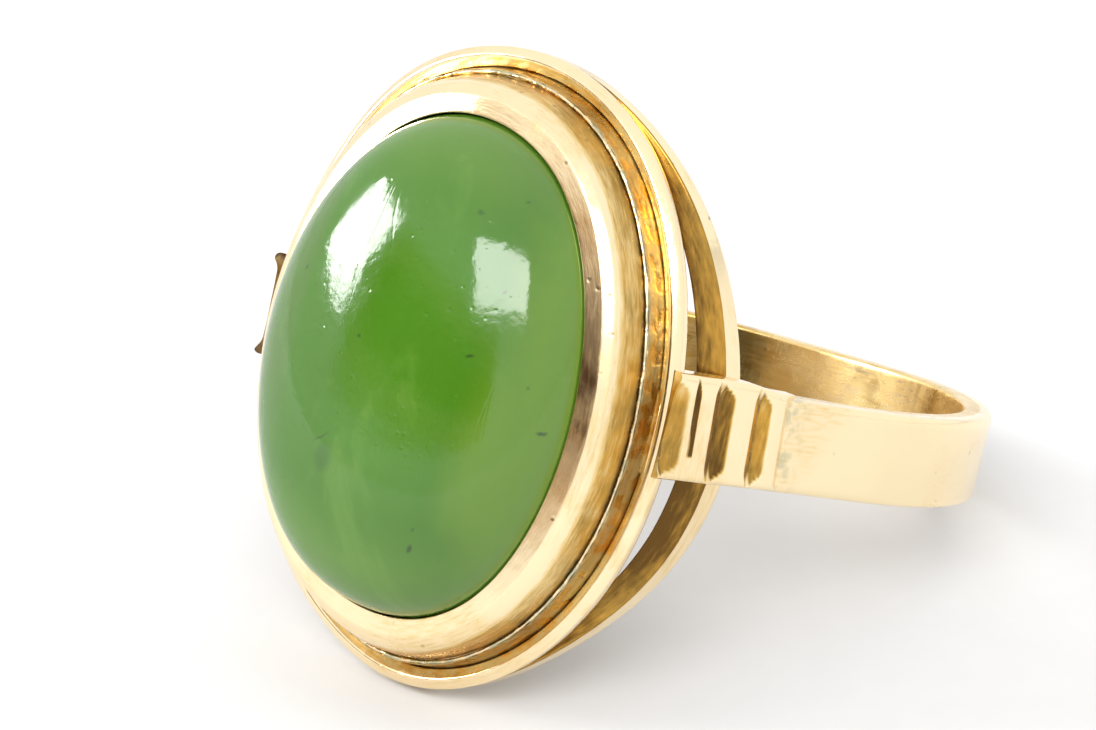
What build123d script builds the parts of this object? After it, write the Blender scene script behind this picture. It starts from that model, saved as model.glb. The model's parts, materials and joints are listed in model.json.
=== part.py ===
# A yellow gold ring with an oval green cabochon, lying on its side.
#
# The gold is one soldered solid: a bezel round the stone, a stepped outer ring round the bezel,
# a gallery strip behind it that bends down over the finger, two ribbed shoulders and the band.
# The stone is a second solid, seated inside the bezel.
#
# The ring is drawn upright first: the finger hole runs along Z with its centre at the origin,
# X goes across the finger and the stone faces -Y. Depths are measured from the front plane of
# the bezel's lip back towards the finger. At the end both solids are laid down together, so that
# the head's end and the back of the band touch the plane z = 0.
from build123d import *
from math import acos, asin, atan2, cos, degrees, hypot, pi, radians, sin
import os

# Stone
stone_length = 13.7
stone_width = 9.98
stone_rise = 2.46
dome_fullness = 0.68
girdle_depth = 0.5
stone_wall = 0.9
base_chamfer = 0.45
stone_gap = 0.05

# Bezel, measured outwards from the stone's opening and back from the lip
lip_width = 0.51
lip_drop = 0.11
lip_overhang = 0.06
brow_offset = 0.81
brow_depth = 0.5
seam_offset = 1.02
seam_depth = 1.2
seam_width = 0.12
bezel_wall = 0.5
seat_width = 0.7
seat_thickness = 0.55

# Outer ring, the second step: a steep face, and a round wire for its rim
face_foot_offset = 1.24
face_foot_depth = 1.9
rim_offset = 1.55
rim_depth = 1.93
rim_radius = 0.27
rim_steps = 6
ring_back_depth = 2.01

# Gallery strip behind the outer ring, which stands back from the rim at the sides of the finger
gallery_inset = 0.01
gallery_side_inset = 0.15
gallery_width = 0.57
gallery_thickness = 0.57
gallery_flat = 3.74
gallery_bend = 6.44
solder_depth = 0.08

# Band and finger hole
bore_diameter = 17.0
finger_to_lip = 11.25
band_width = 2.5
band_thickness = 0.82
band_outer_round = 0.35
band_inner_round = 0.2
bore_wrap = 278
shank_shift = 0.1

# Shoulders
shoulder_width = 2.9
shoulder_length = 3.58
shoulder_thickness = 0.78
shoulder_rise = 0.12
shoulder_step = 0.18
shoulder_start_depth = 1.65
shoulder_round = 0.52
shoulder_inset = 0.38
shelf_depth = 4.5
notch_depth = 0.2

# Notches across each shoulder: place of the valley and half width, as shares of the length
notch_table = [
    # name, valley, half_width
    ("notch at the head", 0.0, 0.145),
    ("middle notch", 0.4625, 0.0975),
    ("last notch", 0.795, 0.09),
]

# Sizes that follow
bore_radius = bore_diameter / 2
band_radius = bore_radius + band_thickness
opening_length = stone_length + 2 * stone_gap - lip_overhang
opening_width = stone_width + 2 * stone_gap - lip_overhang
seat_depth = girdle_depth + stone_wall + base_chamfer + stone_gap
bezel_depth = seat_depth + seat_thickness
ring_half_width = opening_width / 2 + rim_offset
gallery_top_depth = ring_back_depth - solder_depth
gallery_half_width = ring_half_width + rim_radius - gallery_side_inset
gallery_half_length = opening_length / 2 + rim_offset + rim_radius - gallery_inset


def at_depth(depth):
    """Plane across the head, at a depth behind the lip."""
    return Plane.XZ.offset(finger_to_lip - depth)


def oval(offset):
    """Oval outline that stands a given distance outside the stone's opening."""
    return Ellipse(opening_width / 2 + offset, opening_length / 2 + offset)


def loft_ovals(profile):
    """Fills a stack of ovals, from rows of offset and depth, in the part that is being built."""
    for (near_offset, near_depth), (far_offset, far_depth) in zip(profile, profile[1:]):
        with BuildSketch(at_depth(near_depth)) as near:
            oval(near_offset)
        with BuildSketch(at_depth(far_depth)) as far:
            oval(far_offset)
        loft(sections=[near.sketch, far.sketch], ruled=True)


# Bezel: a tube with a bevelled lip, a brow, a steep wall and a seat for the stone
bezel_profile = [
    # offset, depth
    (0.0, 0.0),
    (lip_width, lip_drop),
    (brow_offset, brow_depth),
    (seam_offset, seam_depth),
]
with BuildPart() as bezel:
    loft_ovals(bezel_profile)
    with BuildSketch(at_depth(seam_depth)):
        oval(lip_overhang / 2 + bezel_wall)
    extrude(amount=-(bezel_depth - seam_depth))

# Room for the stone, with the lip leaning over its edge, and the open back inside the seat
with BuildPart() as stone_room:
    with BuildSketch(at_depth(0)):
        oval(0)
    with BuildSketch(at_depth(girdle_depth)):
        oval(lip_overhang / 2)
    loft(ruled=True)
    with BuildSketch(at_depth(girdle_depth)):
        oval(lip_overhang / 2)
    extrude(amount=-(seat_depth - girdle_depth))
    with BuildSketch(at_depth(seat_depth)):
        oval(lip_overhang / 2 - seat_width)
    extrude(amount=-2 * seat_thickness)

# Outer ring: a narrow ledge at the solder seam, a steep face and a flat back under the rim
with BuildPart() as outer_ring:
    loft_ovals([(seam_offset + seam_width, seam_depth), (face_foot_offset, face_foot_depth)])
    with BuildSketch(at_depth(face_foot_depth)):
        oval(rim_offset)
    extrude(amount=-(ring_back_depth - face_foot_depth))

# Rim: a round wire bent to the oval, as a stack that swells and narrows less the hollow inside it
rim_turns = [pi * step / rim_steps for step in range(rim_steps + 1)]
rim_outside = [(rim_offset + rim_radius * sin(turn), rim_depth - rim_radius * cos(turn)) for turn in rim_turns]
rim_inside = [(rim_offset - rim_radius * sin(turn), rim_depth - rim_radius * cos(turn)) for turn in rim_turns]
with BuildPart() as rim_hollow:
    loft_ovals(rim_inside)
with BuildPart() as rim:
    loft_ovals(rim_outside)
    add(rim_hollow.part, mode=Mode.SUBTRACT)

# Gallery: an oval strip, flat across its middle and bent down on both sides of the finger
bend_centre = (0, gallery_top_depth + gallery_bend - finger_to_lip)
with BuildPart() as gallery:
    with BuildSketch(Plane.XY):
        with Locations(bend_centre):
            SlotCenterToCenter(gallery_flat, 2 * gallery_bend)
            SlotCenterToCenter(gallery_flat, 2 * (gallery_bend - gallery_thickness), mode=Mode.SUBTRACT)
    extrude(amount=opening_length, both=True)
    with BuildSketch(at_depth(0)):
        Ellipse(gallery_half_width, gallery_half_length)
        Ellipse(gallery_half_width - gallery_width, gallery_half_length - gallery_width, mode=Mode.SUBTRACT)
    extrude(amount=-(gallery_top_depth + gallery_bend), mode=Mode.INTERSECT)

# Shank: the band, whose sides run straight from the circle up to the outer ring. It was soldered on
# a little towards one end of the head.
front_point = Vector(ring_half_width + shoulder_step, shoulder_start_depth - finger_to_lip)
tangent_angle = atan2(front_point.Y, front_point.X) + acos(band_radius / front_point.length)
tangent_point = Vector(band_radius * cos(tangent_angle), band_radius * sin(tangent_angle))
along_shoulder = (tangent_point - front_point).normalized()
bore_end_angle = radians(90 - bore_wrap / 2)
bore_end = Vector(bore_radius * cos(bore_end_angle), bore_radius * sin(bore_end_angle))
bore_back = Vector(0, bore_radius)
band_back = Vector(0, band_radius)
shelf_y = shelf_depth - finger_to_lip
inner_x = front_point.X - shoulder_inset
with BuildPart() as shank:
    with BuildSketch(Plane.XY.offset(shank_shift)):
        with BuildLine():
            CenterArc((0, 0), band_radius, degrees(tangent_angle), 90 - degrees(tangent_angle))
            Line(tangent_point, front_point)
            Polyline(front_point, (inner_x, front_point.Y), (inner_x, shelf_y), (bore_end.X, shelf_y), bore_end)
            CenterArc((0, 0), bore_radius, degrees(bore_end_angle), bore_wrap / 2)
            Line(bore_back, band_back)
        make_face()
        mirror(about=Plane.YZ)
    extrude(amount=band_width / 2, both=True)
    flat_edges = edges().filter_by(Plane.XY)
    outer_edges = flat_edges.filter_by(lambda edge: edge.geom_type == GeomType.CIRCLE and edge.radius > bore_radius)
    inner_edges = flat_edges.filter_by(lambda edge: edge.geom_type == GeomType.CIRCLE and edge.radius <= bore_radius)
    fillet(outer_edges, radius=band_outer_round)
    fillet(inner_edges, radius=band_inner_round)

# Shoulders: a rounded bar along each straight side, crossed by three notches
bar_start = Vector(front_point.X, front_point.Y, shank_shift)
bar_end = Plane(origin=bar_start, x_dir=(0, 0, 1), z_dir=along_shoulder)
bar_side = Plane(origin=bar_start, x_dir=along_shoulder, z_dir=(0, 0, 1))
with BuildPart() as shoulders:
    with BuildSketch(bar_end):
        with Locations((0, shoulder_rise)):
            Rectangle(shoulder_width, shoulder_thickness, align=(Align.CENTER, Align.MAX))
        fillet(vertices().group_by(Axis.Y)[-1], radius=shoulder_round)
    extrude(amount=shoulder_length)
    mirror(about=Plane.YZ)

with BuildPart() as notches:
    for name, valley, half_width in notch_table:
        valley_x = valley * shoulder_length
        half = half_width * shoulder_length
        with BuildSketch(bar_side):
            Polygon(
                (valley_x, notch_depth - shoulder_rise),
                (valley_x - 2 * half, -notch_depth - shoulder_rise),
                (valley_x + 2 * half, -notch_depth - shoulder_rise),
                align=None,
            )
        extrude(amount=shoulder_width, both=True)
    mirror(about=Plane.YZ)

# The gold work, all soldered into one solid
with BuildPart() as gold_mount:
    add(shank.part)
    add(shoulders.part)
    add(notches.part, mode=Mode.SUBTRACT)
    add(gallery.part)
    add(outer_ring.part)
    add(rim.part)
    add(bezel.part)
    add(stone_room.part, mode=Mode.SUBTRACT)

# Stone: a round cabochon turned about its own axis, then stretched to the oval. The dome's curve is
# level at the crown and upright at the girdle, and its fullness says how long it keeps each direction.
with BuildPart() as cabochon:
    with BuildSketch(Plane.XY):
        with BuildLine():
            stone_radius = stone_width / 2
            girdle_y = girdle_depth - finger_to_lip
            crown_y = girdle_y - stone_rise - girdle_depth
            wall_y = girdle_y + stone_wall
            base_y = wall_y + base_chamfer
            Bezier(
                (0, crown_y),
                (dome_fullness * stone_radius, crown_y),
                (stone_radius, girdle_y + dome_fullness * (crown_y - girdle_y)),
                (stone_radius, girdle_y),
            )
            Polyline(
                (stone_radius, girdle_y),
                (stone_radius, wall_y),
                (stone_radius - base_chamfer, base_y),
                (0, base_y),
                (0, crown_y),
            )
        make_face()
    revolve(axis=Axis.Y)
    scale(by=(1, 1, stone_length / stone_width))

# Laid on its side: the gallery's end and the rounded back edge of the band touch the floor
head_touch = Vector(gallery_top_depth + gallery_thickness, gallery_half_length)
band_touch = Vector(
    finger_to_lip + band_radius - band_outer_round,
    band_width / 2 - shank_shift - band_outer_round,
)
touch_run = band_touch.X - head_touch.X
touch_drop = head_touch.Y - band_touch.Y
lean = degrees(atan2(touch_drop, touch_run) - asin(band_outer_round / hypot(touch_run, touch_drop)))
laid = Rotation(-lean, 0, 0)
box = (laid * gold_mount.part).bounding_box().add((laid * cabochon.part).bounding_box())
resting = Pos(-box.center().X, -box.center().Y, -box.min.Z) * laid

with BuildPart() as gold_laid:
    add(resting * gold_mount.part)
with BuildPart() as stone_laid:
    add(resting * cabochon.part)

gold_laid.part.label = "gold_mount"
stone_laid.part.label = "jade_cabochon"

os.makedirs("parts", exist_ok=True)
export_step(gold_laid.part, "parts/gold_mount.step")
export_step(stone_laid.part, "parts/jade_cabochon.step")

print("lean in degrees", round(lean, 5))
print("box in mm", box.size)
print("middle of the finger hole", (resting * Pos(0, 0, shank_shift)).position)
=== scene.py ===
# %% [markdown]
# # An old gold ring with a green cabochon
# This lesson dresses a finished construction model of a ring. The construction gives the sizes and
# the place; here each part of the gold work and the stone get a fine mesh and a finish.
# The first cell loads that model. Everything after it is fitted to it, in metres.

# %% Load the frame
import json
from math import acos, atan2, cos, degrees, log, pi, radians, sin, tan

import bpy
from mathutils import Matrix, Vector


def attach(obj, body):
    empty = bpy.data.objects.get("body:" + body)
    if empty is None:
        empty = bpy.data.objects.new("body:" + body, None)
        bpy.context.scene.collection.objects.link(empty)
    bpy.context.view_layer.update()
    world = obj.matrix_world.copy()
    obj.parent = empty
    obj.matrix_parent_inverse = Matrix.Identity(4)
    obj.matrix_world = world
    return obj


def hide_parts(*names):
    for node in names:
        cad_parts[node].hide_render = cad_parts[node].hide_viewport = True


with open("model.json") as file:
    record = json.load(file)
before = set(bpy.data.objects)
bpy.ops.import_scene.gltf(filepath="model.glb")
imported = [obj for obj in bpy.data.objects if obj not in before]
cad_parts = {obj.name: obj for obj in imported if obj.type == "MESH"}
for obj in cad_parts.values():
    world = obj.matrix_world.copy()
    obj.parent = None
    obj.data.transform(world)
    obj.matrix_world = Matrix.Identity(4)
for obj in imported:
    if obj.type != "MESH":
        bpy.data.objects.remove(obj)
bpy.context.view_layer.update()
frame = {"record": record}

scene = bpy.context.scene

# %% [markdown]
# ## Sizes
# A goldsmith writes sizes in millimetres, so the drawing here is in millimetres too, with the ring
# upright: the finger hole runs along Z, X goes across the finger and the stone faces -Y.
# One matrix scales the drawing to metres and lays it on the floor, as the finger hole of the
# construction lies. The sizes are those of the construction, or within 0.2 mm of them.

# %% Named sizes of the ring, in millimetres
finger_to_lip = 11.25
opening_half_width = 5.01
opening_half_length = 6.87

stone_half_width = 4.96
stone_half_length = 6.8
stone_rise = 2.46
dome_fullness = 0.68
girdle_depth = 0.5
stone_wall = 0.9
base_chamfer = 0.45

rim_offset = 1.55
rim_depth = 1.93
gallery_top_depth = 1.93
gallery_bend = 6.44
gallery_flat = 3.74
gallery_outer_offset = 1.81
gallery_width = 0.57
gallery_thickness = 0.57

band_width = 2.5
band_thickness = 0.82
shank_shift = 0.1

shoulder_width = 2.84
shoulder_length = 3.75
shoulder_thickness = 0.78
shoulder_rise = 0.12
shoulder_inset = 0.38
front_corner = Vector((6.74, -9.6))
shelf_y = -6.75

finger_hole = next(mount for mount in frame["record"]["mounts"] if mount["name"] == "finger_bore")
bore_radius = finger_hole["dims"]["r_mm"]
band_radius = bore_radius + band_thickness
tangent_angle = atan2(front_corner.y, front_corner.x) + acos(band_radius / front_corner.length)
hole_axis = Vector(finger_hole["axis"])
lay_down = (
    Matrix.Translation(Vector(finger_hole["pos_m"]))
    @ Vector((0, 0, 1)).rotation_difference(hole_axis).to_matrix().to_4x4()
    @ Matrix.Scale(0.001, 4)
    @ Matrix.Translation((0, 0, -shank_shift))
)
print("the ring leans back by", round(degrees(atan2(hole_axis.y, hole_axis.z)), 2), "degrees")

# %% [markdown]
# ## A helper for node trees
# Node trees in Blender can be drawn by hand or built by a script. In a script, most lines add a node,
# set a number or join two sockets, so one small class does these three jobs for every kind of tree.

# %% Node helper
class Nodes:
    """Adds nodes to a tree. A value may be a number, a colour, or a socket of another node."""

    def __init__(self, tree):
        self.tree = tree

    def put(self, socket, value):
        if isinstance(value, bpy.types.NodeSocket):
            self.tree.links.new(value, socket)
        elif value is not None:
            socket.default_value = value

    def add(self, kind, inputs=None, **settings):
        node = self.tree.nodes.new(kind)
        for name, value in settings.items():
            setattr(node, name, value)
        for name, value in (inputs or {}).items():
            self.put(node.inputs[name], value)
        return node

    def math(self, operation, *values, clamp=False):
        node = self.add("ShaderNodeMath", operation=operation, use_clamp=clamp)
        for socket, value in zip(node.inputs, values):
            self.put(socket, value)
        return node.outputs[0]

    def times(self, first, second):
        return self.math("MULTIPLY", first, second)

    def plus(self, first, second):
        return self.math("ADD", first, second)

    def minus(self, first, second):
        return self.math("SUBTRACT", first, second)

    def vector(self, operation, *values):
        node = self.add("ShaderNodeVectorMath", operation=operation)
        for socket, value in zip(node.inputs, values):
            self.put(socket, value)
        is_number = operation in ("DOT_PRODUCT", "LENGTH")
        return node.outputs["Value" if is_number else "Vector"]

    def parts(self, vector):
        """The three numbers of a vector."""
        return self.add("ShaderNodeSeparateXYZ", {0: vector}).outputs

    def joined(self, x=0.0, y=0.0, z=0.0):
        """A vector from three numbers."""
        return self.add("ShaderNodeCombineXYZ", {0: x, 1: y, 2: z}).outputs[0]

    def ramp(self, value, low, high, to_low=0.0, to_high=1.0):
        """Maps low..high to to_low..to_high with soft ends."""
        node = self.add("ShaderNodeMapRange", interpolation_type="SMOOTHSTEP")
        for name, number in zip(("Value", "From Min", "From Max", "To Min", "To Max"),
                                (value, low, high, to_low, to_high)):
            self.put(node.inputs[name], number)
        return node.outputs["Result"]

    def noise(self, vector, scale, detail=2.0, roughness=0.5, distortion=0.0):
        node = self.add("ShaderNodeTexNoise", {
            "Vector": vector, "Scale": scale, "Detail": detail,
            "Roughness": roughness, "Distortion": distortion})
        return node.outputs["Fac"]

    def mix_colour(self, factor, first, second):
        node = self.add("ShaderNodeMix", data_type="RGBA")
        colours = [socket for socket in node.inputs if socket.type == "RGBA"]
        self.put(node.inputs["Factor"], factor)
        self.put(colours[0], first)
        self.put(colours[1], second)
        return next(socket for socket in node.outputs if socket.type == "RGBA")


print("helper with", len([name for name in vars(Nodes) if name[0] != "_"]), "jobs")

# %% [markdown]
# ## Groups and materials
# A node group has named inputs, which show as fields in the node editor or on a modifier. So one
# group serves many places, each with its own numbers. These functions make groups and materials.

# %% Groups and materials
def new_group(name, kind, inputs, outputs):
    """A node group with named sockets. Returns its helper and the nodes at its two ends."""
    group = bpy.data.node_groups.new(name, kind)
    for label, socket_type, default in inputs:
        socket = group.interface.new_socket(name=label, in_out="INPUT", socket_type=socket_type)
        if default is not None:
            socket.default_value = default
    for label, socket_type in outputs:
        group.interface.new_socket(name=label, in_out="OUTPUT", socket_type=socket_type)
    nodes = Nodes(group)
    start = nodes.add("NodeGroupInput").outputs
    end = nodes.add("NodeGroupOutput").inputs
    return nodes, start, end


def label_of(word):
    """The name of an input as the node editor shows it."""
    return word.replace("_", " ").title()


def number_inputs(**sizes):
    """One row for each input that holds a number."""
    return [(label_of(word), "NodeSocketFloat", value) for word, value in sizes.items()]


def new_material(name):
    """A material with its node helper, its shader and the place of each point on the object."""
    material = bpy.data.materials.new(name)
    material.use_nodes = True
    nodes = Nodes(material.node_tree)
    place = nodes.add("ShaderNodeTexCoord").outputs["Object"]
    return material, nodes, material.node_tree.nodes["Principled BSDF"], place


print("group and material helpers ready")

# %% [markdown]
# ## Camera
# The photograph looks at the ring from its right front, a little from above, through a long lens.
# A camera is easiest to place from the point it looks at: turn it to its azimuth and elevation,
# then step back along the line of sight.

# %% Camera
camera_aim = Vector((0.00306, -0.00653, 0.00933))
camera_distance = 0.125
camera_azimuth = 37.925
camera_elevation = 25.556
camera_roll = -0.356


def direction_at(azimuth, elevation=0.0):
    """A direction from two angles in degrees. Azimuth 0 is the stone's side, 90 is the right."""
    side = radians(azimuth)
    lift = radians(elevation)
    return Vector((sin(side) * cos(lift), -cos(side) * cos(lift), sin(lift)))


def aimed(data, target, direction, distance, roll=0.0):
    """Adds a camera or a lamp that stands off in a direction and looks back at the target."""
    thing = bpy.data.objects.new(data.name, data)
    scene.collection.objects.link(thing)
    thing.location = target + direction * distance
    thing.rotation_mode = "QUATERNION"
    tilt = Matrix.Rotation(radians(roll), 3, "Z").to_quaternion()
    thing.rotation_quaternion = direction.to_track_quat("Z", "Y") @ tilt
    return thing


camera_data = bpy.data.cameras.new("photo_camera")
camera_data.lens = 157.66
camera_data.sensor_width = 36.0
camera_data.clip_start = 0.001
camera_data.clip_end = 10.0
backwards = direction_at(camera_azimuth, camera_elevation)
camera = aimed(camera_data, camera_aim, backwards, camera_distance, camera_roll)
scene.camera = camera
print("camera at", [round(value, 4) for value in camera.location])

# %% [markdown]
# ## Floor and light
# The ring lies on white paper under soft lamps. Polished metal shows mostly what stands around it,
# so the surroundings are part of its look: a white floor, a pale room with a dark place low in front
# of the stone, and soft lamps whose shapes show as highlights in the stone.

# %% Floor
floor_size = 3.0
floor_mesh = bpy.data.meshes.new("paper_floor")
half_floor = floor_size / 2
floor_corners = [(x * half_floor, y * half_floor, 0) for x, y in ((-1, -1), (1, -1), (1, 1), (-1, 1))]
floor_mesh.from_pydata(floor_corners, [], [(0, 1, 2, 3)])
floor = bpy.data.objects.new("paper_floor", floor_mesh)
scene.collection.objects.link(floor)
darker_paper = (0.565, 0.565, 0.57, 1)
lighter_paper = (0.585, 0.585, 0.59, 1)
floor_material, floor_nodes, paper, place_on_floor = new_material("white_paper")
grain = floor_nodes.noise(place_on_floor, 900.0, 3.0)
paper_colour = floor_nodes.mix_colour(grain, darker_paper, lighter_paper)
floor_nodes.put(paper.inputs["Base Color"], paper_colour)
paper.inputs["Roughness"].default_value = 0.9
paper.inputs["Specular IOR Level"].default_value = 0.2
floor_mesh.materials.append(floor_material)
print("floor", floor_size, "m")

# %% [markdown]
# ## The room around the ring
# The room could be modelled with walls, but gold only needs to know how bright each direction is.
# So the world's background is white, with soft-edged patches: a brown one low in front of the stone,
# which gives the bezel's lip its dark reflection, a tan one round it, and a side wall at the left
# that is a little dimmer than the rest.

# %% World
world = bpy.data.worlds.new("pale_room")
scene.world = world
world.use_nodes = True
room = Nodes(world.node_tree)
looking = room.add("ShaderNodeTexCoord").outputs["Generated"]
height_seen = room.parts(looking)[2]
level_look = room.vector("NORMALIZE", room.vector("MULTIPLY", looking, (1.0, 1.0, 0.0)))


def patch_of_room(middle, half_width, low, high, soft_side, soft_low, soft_high):
    """A mask with soft edges over a range of azimuths and elevations, all in degrees."""
    level = room.vector("DOT_PRODUCT", level_look, direction_at(middle))
    across = room.ramp(level, cos(radians(half_width + soft_side)), cos(radians(half_width)))
    above = room.ramp(height_seen, sin(radians(low - soft_low)), sin(radians(low)))
    below = room.ramp(height_seen, sin(radians(high + soft_high)), sin(radians(high)))
    return room.times(across, room.times(above, below))


room_white = (1.1, 1.1, 1.1, 1)
side_wall_white = (1.05, 1.05, 1.05, 1)
tan_wall = (0.62, 0.45, 0.31, 1)
front_brown = (0.05, 0.025, 0.012, 1)
room_colour = room.mix_colour(patch_of_room(-100, 20, 2, 32, 8, 8, 8), room_white, side_wall_white)
room_colour = room.mix_colour(patch_of_room(-11, 30, 10, 27, 7, 6, 8), room_colour, tan_wall)
room_colour = room.mix_colour(patch_of_room(-11, 28, 15, 21, 7, 4, 6), room_colour, front_brown)
room_light = world.node_tree.nodes["Background"]
room.put(room_light.inputs["Color"], room_colour)
room_light.inputs["Strength"].default_value = 1.0
print("room made")

# %% [markdown]
# ## Lamps
# Two soft boxes give the two highlights in the stone, so their places and sizes follow from where
# those highlights are. A third lamp above only lightens the shadows and makes no reflection. Each is
# an area lamp, placed by the direction and the angle that it fills, because a highlight shows angles.

# %% Lamps
lamp_distance = 0.45
lamp_table = [
    # name, azimuth, elevation, degrees wide, degrees high, radiance, seen in reflections
    ("left_softbox", -61.0, 24.0, 25.0, 19.0, 15.5, True),
    ("right_softbox", 26.0, 43.5, 46.0, 19.0, 8.5, True),
    ("ceiling_fill", 150.0, 72.0, 40.0, 40.0, 1.2, False),
]


def add_lamp(name, azimuth, elevation, degrees_wide, degrees_high, radiance, in_reflections):
    """A rectangular lamp that faces the ring. Its size is given as the angle that it fills."""
    lamp_data = bpy.data.lights.new(name, "AREA")
    lamp_data.shape = "RECTANGLE"
    lamp_data.size = 2 * lamp_distance * tan(radians(degrees_wide / 2))
    lamp_data.size_y = 2 * lamp_distance * tan(radians(degrees_high / 2))
    lamp_data.energy = radiance * pi * lamp_data.size * lamp_data.size_y
    lamp = aimed(lamp_data, Vector(), direction_at(azimuth, elevation), lamp_distance)
    lamp.visible_camera = False
    lamp.visible_glossy = in_reflections
    return lamp


for row in lamp_table:
    lamp = add_lamp(*row)
    print(lamp.name, round(lamp.data.energy, 2), "watts")
scene.view_settings.view_transform = "Standard"
scene.view_settings.look = "None"

# %% [markdown]
# ## Shared effects
# Wear is the same on every part of the gold work: fine scratches in all directions, small pits and
# soft patches where the tone changes. The stone has its own scratches and pits. Each effect is a node
# group, made once and placed in the materials with its own numbers. A group gives masks only; the
# shader that turns them into light stays in the material.

# %% Effect groups
def effect_group(name, **numbers):
    """A group that takes a place and some numbers and gives one mask."""
    inputs = [("Vector", "NodeSocketVector", None)] + number_inputs(**numbers)
    return new_group(name, "ShaderNodeTree", inputs, [("Mask", "NodeSocketFloat")])


def scratches_group():
    """Thin broken lines in several directions."""
    nodes, start, end = effect_group("fine scratches", scale=900.0, thinness=0.02, amount=0.5)
    lines = None
    for turn, tilt in ((0.3, 0.2), (1.2, 1.0), (2.2, 0.5), (2.9, 1.7)):
        placed = nodes.add("ShaderNodeMapping", {
            "Vector": start["Vector"], "Rotation": (tilt, 0.4, turn), "Scale": (1.0, 0.04, 0.12)})
        streak = nodes.noise(placed.outputs[0], start["Scale"], 1.0)
        centred = nodes.math("ABSOLUTE", nodes.minus(streak, 0.5))
        line = nodes.ramp(centred, start["Thinness"], 0.0)
        lines = line if lines is None else nodes.math("MAXIMUM", lines, line)
    patchy = nodes.ramp(nodes.noise(start["Vector"], 350.0, 2.0), 0.45, 0.7)
    broken = nodes.times(lines, patchy)
    nodes.put(end["Mask"], nodes.times(broken, start["Amount"]))
    return nodes.tree


def pits_group():
    """Small round pits in some cells of a random pattern."""
    nodes, start, end = effect_group("small pits", scale=2500.0, size=0.25, share=0.1)
    cells = nodes.add("ShaderNodeTexVoronoi", {"Vector": start["Vector"], "Scale": start["Scale"]})
    chosen = nodes.math("LESS_THAN", nodes.add(
        "ShaderNodeSeparateColor", {"Color": cells.outputs["Color"]}).outputs[0], start["Share"])
    hole = nodes.ramp(cells.outputs["Distance"], start["Size"], 0.0)
    nodes.put(end["Mask"], nodes.times(hole, chosen))
    return nodes.tree


def patches_group():
    """Soft cloudy patches."""
    nodes, start, end = effect_group("soft patches", scale=300.0, low=0.4, high=0.6)
    cloud = nodes.noise(start["Vector"], start["Scale"], 4.0, 0.55, 0.4)
    nodes.put(end["Mask"], nodes.ramp(cloud, start["Low"], start["High"]))
    return nodes.tree


fine_scratches = scratches_group()
small_pits = pits_group()
soft_patches = patches_group()


def effect(nodes, group, **values):
    """Places an effect group in a tree and returns its mask."""
    node = nodes.add("ShaderNodeGroup", node_tree=group)
    for label, value in values.items():
        nodes.put(node.inputs[label], value)
    return node.outputs["Mask"]


def carried(nodes, name, output="Fac"):
    """Reads a note that the meshes carry from point to point."""
    return nodes.add("ShaderNodeAttribute", attribute_name=name).outputs[output]


def add_relief(nodes, shader, height, reliefs):
    """Adds masks to a height, each with its own height in metres, and bumps the surface with it."""
    for mask, lift in reliefs:
        height = nodes.plus(height, nodes.times(mask, lift))
    bump = nodes.add("ShaderNodeBump", {"Height": height, "Strength": 1.0, "Distance": 1.0})
    nodes.put(shader.inputs["Normal"], bump.outputs[0])


print("effect groups:", [group.name for group in (fine_scratches, small_pits, soft_patches)])

# %% [markdown]
# ## Gold
# The metal is yellow gold, polished long ago and worn since. A metal's colour is the colour of its
# reflections. Five notes come with the meshes as attributes: the flow along and across a moulding,
# the edges, painted paler as rubbed gold and as a painted highlight, the crevices, painted near black
# as dirt and painted shade, the places painted golden brown as patina and as painted shade, and the
# solder, which is paler and greener than the gold.

# %% Gold material
yellow_gold = (0.98, 0.815, 0.52, 1)
rosy_gold = (0.97, 0.775, 0.48, 1)
# Paler gold for convex edges: gold rubbed bright by wear, and a painted highlight.
rubbed_and_highlit_edge = (1.0, 0.9, 0.66, 1)
# Golden brown, orange brown, olive brown and dark brown paint patina and painted shade.
golden_brown = (0.82, 0.61, 0.27, 1)
orange_brown = (0.60, 0.33, 0.06, 1)
olive_brown = (0.42, 0.25, 0.055, 1)
dark_brown = (0.13, 0.068, 0.018, 1)
pale_solder = (0.56, 0.53, 0.34, 1)
# Near black for crevices: dirt and painted shade.
dirt_and_shade_black = (0.10, 0.07, 0.035, 1)
dirt_in_pits = (0.25, 0.16, 0.08, 1)
bare_gold = 0.72


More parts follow.
